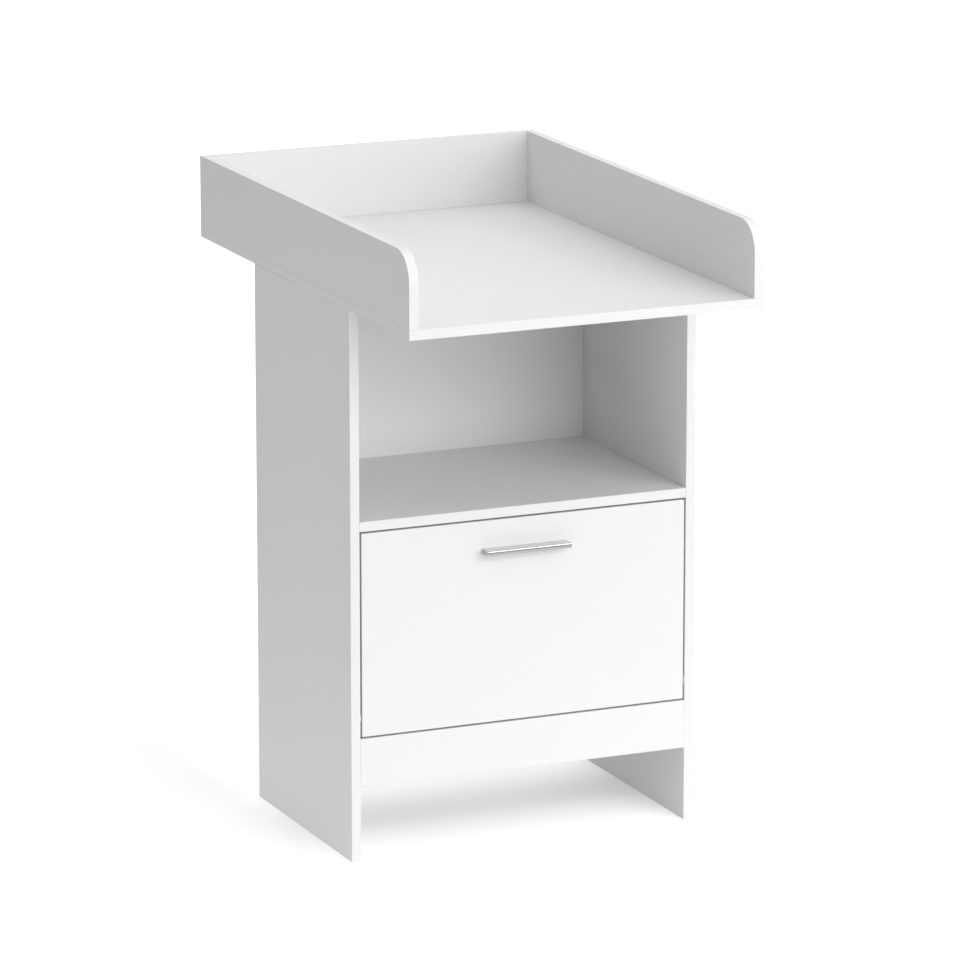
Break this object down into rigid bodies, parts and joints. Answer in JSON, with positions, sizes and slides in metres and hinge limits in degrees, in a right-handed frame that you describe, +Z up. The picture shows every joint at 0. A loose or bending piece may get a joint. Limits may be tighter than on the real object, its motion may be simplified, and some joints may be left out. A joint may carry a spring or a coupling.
{
  "type": "changing dresser",
  "caption": "White changing dresser: narrow cabinet with an open shelf and a drop-down flap on brake stays, under a deep changing tray with rails on three sides.",
  "frame": {"origin": "on the floor, under the middle of the changing tray", "axes": "+X to the dresser's right as seen from its front, +Y to its back, +Z up"},
  "size_m": [0.6, 0.88, 1.033],
  "materials": {
    "white_board": "satin white coated chipboard with white edge bands",
    "white_hardboard": "matt white painted hardboard",
    "satin_metal": "satin brushed",
    "zinc_steel": "bright zinc plate",
    "nylon": "moulded, slightly satin",
    "grey_plastic": "moulded matt",
    "magnet": "bare ferrite and steel",
    "beech": "raw turned wood"
  },
  "bodies": {
    "cabinet": {"side_panel_left": "white_board", "side_panel_right": "white_board", "shelf": "white_board", "base_panel": "white_board", "plinth": "white_board", "changing_board": "white_board", "tray_rail_left": "white_board", "tray_rail_right": "white_board", "tray_rail_back": "white_board", "back_panel": "white_hardboard", "catch_screws": "zinc_steel", "stay_base_left": "zinc_steel", "stay_base_right": "zinc_steel", "stay_base_screws": "zinc_steel", "cam_bolts": "zinc_steel", "cam_housings": "zinc_steel", "tray_screws": "zinc_steel", "rail_screws": "zinc_steel", "back_nails": "zinc_steel", "pivot_bushes": "nylon", "catch_housings": "nylon", "catch_magnets": "magnet", "cabinet_dowels": "beech", "rail_dowels": "beech"},
    "flap": {"flap_panel": "white_board", "handle": "satin_metal", "handle_screws": "zinc_steel", "pivot_pins": "zinc_steel", "strike_plates": "zinc_steel", "strike_screws": "zinc_steel", "stay_lug_left": "zinc_steel", "stay_lug_right": "zinc_steel", "stay_lug_screws": "zinc_steel", "stay_pins": "zinc_steel"},
    "stay_rod_left": {"stay_rod_left": "zinc_steel", "stay_stop_left": "nylon"},
    "stay_guide_left": {"stay_guide_left": "nylon", "brake_knob_left": "grey_plastic"},
    "stay_rod_right": {"stay_rod_right": "zinc_steel", "stay_stop_right": "nylon"},
    "stay_guide_right": {"stay_guide_right": "nylon", "brake_knob_right": "grey_plastic"}
  },
  "joints": [
    {"name": "flap_hinge", "type": "hinge", "parent": "cabinet", "child": "flap", "pos_m": [0, -0.192, 0.235], "axis": [1, 0, 0], "range_deg": [0, 90]},
    {"name": "stay_eye_left", "type": "hinge", "parent": "flap", "child": "stay_rod_left", "pos_m": [-0.268, -0.17, 0.413], "axis": [1, 0, 0], "range_deg": [-45, 0]},
    {"name": "stay_swivel_left", "type": "hinge", "parent": "cabinet", "child": "stay_guide_left", "pos_m": [-0.268, -0.12179, 0.40004], "axis": [1, 0, 0], "range_deg": [0, 45]},
    {"name": "stay_eye_right", "type": "hinge", "parent": "flap", "child": "stay_rod_right", "pos_m": [0.268, -0.17, 0.413], "axis": [1, 0, 0], "range_deg": [-45, 0]},
    {"name": "stay_swivel_right", "type": "hinge", "parent": "cabinet", "child": "stay_guide_right", "pos_m": [0.268, -0.12179, 0.40004], "axis": [1, 0, 0], "range_deg": [0, 45]}
  ],
  "couplings": [
    {"joint": "stay_eye_left", "follows": "flap_hinge", "ratio": -0.5},
    {"joint": "stay_swivel_left", "follows": "flap_hinge", "ratio": 0.5},
    {"joint": "stay_eye_right", "follows": "flap_hinge", "ratio": -0.5},
    {"joint": "stay_swivel_right", "follows": "flap_hinge", "ratio": 0.5}
  ]
}
